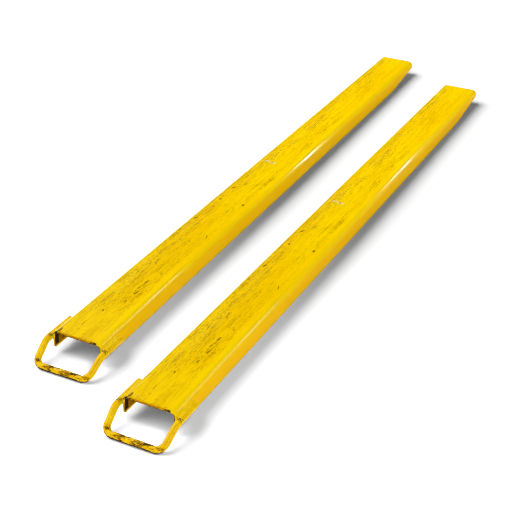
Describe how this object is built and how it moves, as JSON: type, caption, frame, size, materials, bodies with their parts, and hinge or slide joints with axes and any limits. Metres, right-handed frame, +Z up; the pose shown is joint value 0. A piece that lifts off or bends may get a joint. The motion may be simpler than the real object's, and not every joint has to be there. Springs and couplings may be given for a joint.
{
  "type": "pallet fork extension pair",
  "caption": "Pair of slip-on pallet fork extensions: long folded channel sleeves with tapered noses and a round-bar retaining loop welded behind each.",
  "frame": {"origin": "centre of the pair's bounding box, on the floor it lies on", "axes": "+Z up, +Y along the sleeves towards the fork tips, +X to the right as seen from behind the loops"},
  "size_m": [0.419, 2.03, 0.0573],
  "materials": {
    "sleeve_paint": "glossy yellow enamel, scuffed on top",
    "loop_paint": "yellow enamel worn to dark steel on the cross bar",
    "weld_paint": "yellow enamel over weld beads"
  },
  "bodies": {
    "left_extension": {"left_ext_sleeve": "sleeve_paint", "left_ext_toe_plate": "sleeve_paint", "left_ext_fork_stop": "sleeve_paint", "left_ext_retaining_loop": "loop_paint", "left_ext_left_leg_upper_weld": "weld_paint", "left_ext_left_leg_lower_weld": "weld_paint", "left_ext_left_leg_end_weld": "weld_paint", "left_ext_right_leg_upper_weld": "weld_paint", "left_ext_right_leg_lower_weld": "weld_paint", "left_ext_right_leg_end_weld": "weld_paint", "left_ext_toe_left_weld": "weld_paint", "left_ext_toe_right_weld": "weld_paint", "left_ext_tip_weld": "weld_paint", "left_ext_stop_weld": "weld_paint"},
    "right_extension": {"right_ext_sleeve": "sleeve_paint", "right_ext_toe_plate": "sleeve_paint", "right_ext_fork_stop": "sleeve_paint", "right_ext_retaining_loop": "loop_paint", "right_ext_left_leg_upper_weld": "weld_paint", "right_ext_left_leg_lower_weld": "weld_paint", "right_ext_left_leg_end_weld": "weld_paint", "right_ext_right_leg_upper_weld": "weld_paint", "right_ext_right_leg_lower_weld": "weld_paint", "right_ext_right_leg_end_weld": "weld_paint", "right_ext_toe_left_weld": "weld_paint", "right_ext_toe_right_weld": "weld_paint", "right_ext_tip_weld": "weld_paint", "right_ext_stop_weld": "weld_paint"}
  },
  "joints": [
    {"name": "fork_spread", "type": "slide", "parent": "left_extension", "child": "right_extension", "axis": [1, 0, 0], "range_m": [-0.09, 0.6]}
  ]
}
